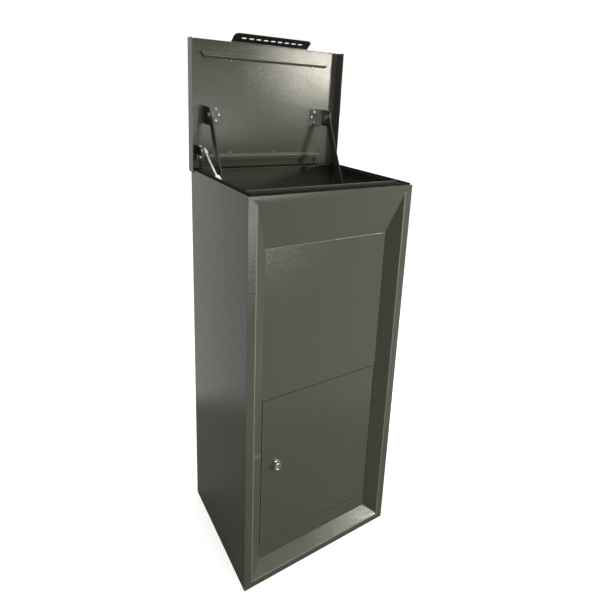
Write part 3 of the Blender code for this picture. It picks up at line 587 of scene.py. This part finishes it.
tube_shape = [(0.0040, TUBE_START), (0.0064, TUBE_START), (TUBE_R, TUBE_START + 0.0020)]
for groove in (TUBE_START + 0.010, TUBE_END - 0.012):
    tube_shape += [(TUBE_R, groove), (GROOVE_R, groove + 0.0010), (GROOVE_R, groove + 0.0020),
                   (TUBE_R, groove + 0.0030)]
tube_shape += [(TUBE_R, TUBE_END - 0.0020), (0.0060, TUBE_END)]
cylinder = turned_piece(tube_shape, sides=40)
cylinder.matrix_world = strut_turn
round_off(cylinder, 0.0003, steps=2)
settle(cylinder, "strut_tube_shell", "strut_tube", "light_strut", pale, "strut_cylinder")

foot = turned_piece([(0.0045, TUBE_END + 0.0003), (SOCKET_R, TUBE_END + 0.004), (SOCKET_R, strut_end - 0.006),
                     (0.0050, strut_end - 0.003)])
foot.matrix_world = strut_turn
round_off(foot, 0.0003, steps=2)
settle(foot, "strut_foot_cup", "strut_tube", "light_strut", bright, "strut_foot_socket")


# ---- Door and cam lock ----------------------------------------------------------------------
# The retrieval door is a shallow pan on two pivot pins. Its chromed cam lock has a stepped barrel
# head, a turning plug with a key slot, and a nut and cam behind the door.

sheet_copy("door_panel", "door_sheet", "paint", steel, fold=0.0016, mitred=True)

lock_facing = Matrix.Rotation(math.pi / 2, 4, "X")
lock_low, lock_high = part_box("lock_barrel")
lock_middle = (lock_low + lock_high) / 2
door_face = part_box("door_panel")[0].y
head_height = door_face - lock_low.y
lock_rear = lock_high.y - door_face
lock_turn = Matrix.Translation((lock_middle.x, door_face, lock_middle.z)) @ lock_facing
barrel_shape = [(0.0080, -lock_rear), (0.0080, 0.0003), (0.0110, 0.0003), (0.0110, 0.0018),
                (0.0106, 0.0026), (0.0098, 0.0030), (0.0098, 0.0092), (0.0094, 0.0105),
                (0.0086, head_height), (0.0072, head_height), (0.0064, head_height - 0.0006),
                (0.0064, head_height - 0.0040), (0.0063, 0.0005 - lock_rear)]
barrel = turned_piece(barrel_shape, sides=48)
barrel.matrix_world = lock_turn
round_off(barrel, 0.00015, angle=35.0, steps=2)
settle(barrel, "lock_barrel_chromed", "door", "chrome", chrome, "lock_barrel")

plug_low, plug_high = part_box("lock_plug")
plug_face = door_face - plug_low.y
plug_shape = [(0.0058, door_face - plug_high.y), (0.0058, plug_face - 0.0012),
              (0.0054, plug_face - 0.0006), (0.0034, plug_face - 0.0005),
              (0.0032, plug_face - 0.0008)]
plug = turned_piece(plug_shape, sides=40)
carve(plug, (0.0011, 0.0060, 0.0050), (0.0, 0.0, plug_face))
carve(plug, (0.0020, 0.0016, 0.0050), (0.0, 0.0014, plug_face))
plug.matrix_world = lock_turn
round_off(plug, 0.0001, angle=35.0, steps=1)
settle(plug, "lock_plug_chromed", "lock", "chrome", chrome, "lock_plug")

for node in ("lock_nut", "lock_cam"):
    sheet_copy(node, f"{node}_plated", "zinc", zinc, fold=0.0, edge=0.0003)

coats = {"zinc": zinc, "chrome": chrome, "light_strut": pale, "dark_paint": dark, "paint": steel}
for node in frame["nodes"].values():
    for holder in node.material_slots:
        holder.material = coats.get(holder.material.name, holder.material)


# ---- Floor, light and camera ----------------------------------------------------------------
# A plain pale floor and a dim round patch that only darkens the light from below, three soft lamps,
# a dome that is weaker on the left front side, and the camera a little above the rim.

bpy.ops.object.select_all(action="DESELECT")
bpy.ops.mesh.primitive_plane_add(size=60.0, location=(0.0, 0.0, cad_low.z))
floor = bpy.context.active_object
floor.name = "studio_floor"
pale_floor, nodes, links, shader, place = finish_start("studio_floor")
cloud = noise(nodes, links, place, 2.0)
tone = tint(nodes, links, cloud, (0.86, 0.86, 0.85), (0.89, 0.89, 0.88))
links.new(tone, shader.inputs["Base Color"])
shader.inputs["Roughness"].default_value = 0.8
shader.inputs["Emission Color"].default_value = (1.0, 1.0, 1.0, 1.0)
shader.inputs["Emission Strength"].default_value = 0.60
floor.data.materials.append(pale_floor)
floor.visible_diffuse = floor.visible_glossy = False
floor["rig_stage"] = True

bpy.ops.object.select_all(action="DESELECT")
bpy.ops.mesh.primitive_circle_add(vertices=64, radius=0.72, fill_type="NGON",
                                  location=(0.0, 0.0, cad_low.z - 0.002))
carpet = bpy.context.active_object
carpet.name = "studio_carpet"
dark_floor, nodes, links, shader, place = finish_start("studio_carpet")
cloud = noise(nodes, links, place, 2.0)
tone = tint(nodes, links, cloud, (0.40, 0.41, 0.38), (0.44, 0.45, 0.42))
links.new(tone, shader.inputs["Base Color"])
shader.inputs["Roughness"].default_value = 0.9
carpet.data.materials.append(dark_floor)
carpet.visible_camera = False
carpet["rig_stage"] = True


def soft_light(name, place, target, width, height, power, colour):
    """A rectangular soft light that faces a point."""
    lamp = bpy.data.lights.new(name, "AREA")
    lamp.shape = "RECTANGLE"
    lamp.size, lamp.size_y = width, height
    lamp.energy = power
    lamp.color = colour
    made = bpy.data.objects.new(name, lamp)
    made.location = place
    made.rotation_euler = (Vector(target) - Vector(place)).to_track_quat("-Z", "Y").to_euler()
    bpy.context.scene.collection.objects.link(made)
    return made


soft_light("key", (1.80, -2.32, 1.37), (0.19, 0.19, 1.26), 0.24, 0.24, 30.0, (1.0, 0.93, 0.82))
soft_light("above", (-0.2, -0.3, 3.4), (0.0, 0.0, 0.5), 1.4, 1.4, 38.0, (0.98, 1.0, 0.97))
soft_light("front", (0.3, -1.9, 0.60), (0.0, -0.2, 0.8), 0.9, 0.7, 8.0, (1.0, 1.0, 0.93))


def dome_part(nodes, links, direction, start, end, low, high):
    """A number that changes with how far a ray of the dome light points along a direction."""
    along = nodes.new("ShaderNodeVectorMath")
    along.operation = "DOT_PRODUCT"
    along.inputs[1].default_value = direction
    links.new(nodes["Texture Coordinate"].outputs["Generated"], along.inputs[0])
    return spread(nodes, links, along.outputs["Value"], low, high, start, end)


world = bpy.data.worlds.new("studio")
world.use_nodes = True
nodes, links = world.node_tree.nodes, world.node_tree.links
nodes.new("ShaderNodeTexCoord")
overhead = dome_part(nodes, links, (0.0, 0.0, 1.0), -0.90, 0.40, 0.66, 1.0)
beside = dome_part(nodes, links, (-0.86, -0.51, 0.0), -0.35, 0.60, 0.94, 0.15)
strength = nodes.new("ShaderNodeMath")
strength.operation = "MULTIPLY"
links.new(overhead, strength.inputs[0])
links.new(beside, strength.inputs[1])
dome = nodes["Background"]
dome.inputs["Color"].default_value = (0.95, 1.0, 0.92, 1.0)
links.new(strength.outputs["Value"], dome.inputs["Strength"])
backdrop = nodes.new("ShaderNodeBackground")
backdrop.inputs["Color"].default_value = (1.0, 1.0, 1.0, 1.0)
choose = nodes.new("ShaderNodeMixShader")
links.new(nodes.new("ShaderNodeLightPath").outputs["Is Camera Ray"], choose.inputs["Fac"])
links.new(dome.outputs["Background"], choose.inputs[1])
links.new(backdrop.outputs["Background"], choose.inputs[2])
links.new(choose.outputs["Shader"], nodes["World Output"].inputs["Surface"])
bpy.context.scene.world = world
bpy.context.scene.view_settings.view_transform = "Standard"

HEADING = math.radians(34.05)
PITCH = math.radians(14.24)
ROLL = math.radians(3.09)
lens = bpy.data.cameras.new("camera")
lens.lens = 28.63
lens.shift_x = -0.0498
lens.shift_y = -0.1389
camera = bpy.data.objects.new("camera", lens)
turn = (Matrix.Rotation(-HEADING, 4, "Z") @ Matrix.Rotation(math.pi / 2 - PITCH, 4, "X")
        @ Matrix.Rotation(ROLL, 4, "Z"))
camera.matrix_world = Matrix.Translation((-0.6035, -1.0404, 1.2166)) @ turn
bpy.context.scene.collection.objects.link(camera)
bpy.context.scene.camera = camera

low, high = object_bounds()
